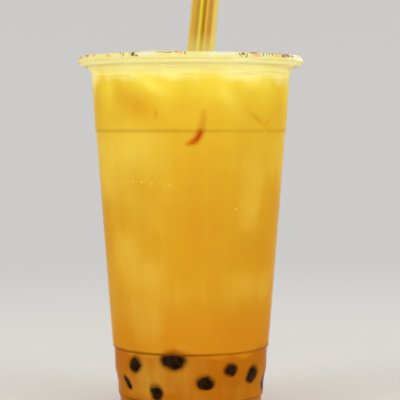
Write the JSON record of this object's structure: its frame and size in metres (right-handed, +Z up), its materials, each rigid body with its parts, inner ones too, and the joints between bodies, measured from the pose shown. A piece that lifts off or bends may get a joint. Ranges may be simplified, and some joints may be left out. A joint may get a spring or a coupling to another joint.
{
  "type": "sealed cup of milk tea",
  "caption": "Milk tea with tapioca pearls in a tall clear tapered cup, sealed with film, a wide straw pushed through it.",
  "frame": {"origin": "centre of the circle that the cup's foot stands on", "axes": "+Z up the cup's axis; -Y is the front; the straw leans towards +X and slightly towards +Y"},
  "size_m": [0.0988, 0.0988, 0.2125],
  "materials": {
    "clear_plastic": "clear, thin drawn sheet, slightly hazy",
    "milk_tea": "cloudy amber liquid, lighter towards the top",
    "milk_froth": "pale yellow milk froth",
    "seal_film": "thin printed film, heat sealed",
    "straw_plastic": "translucent, with long coloured stripes",
    "tapioca": "glossy dark cooked tapioca"
  },
  "bodies": {
    "root": {"cup": "clear_plastic", "tea": "milk_tea", "froth": "milk_froth", "film": "seal_film", "straw": "straw_plastic"}
  },
  "joints": []
}
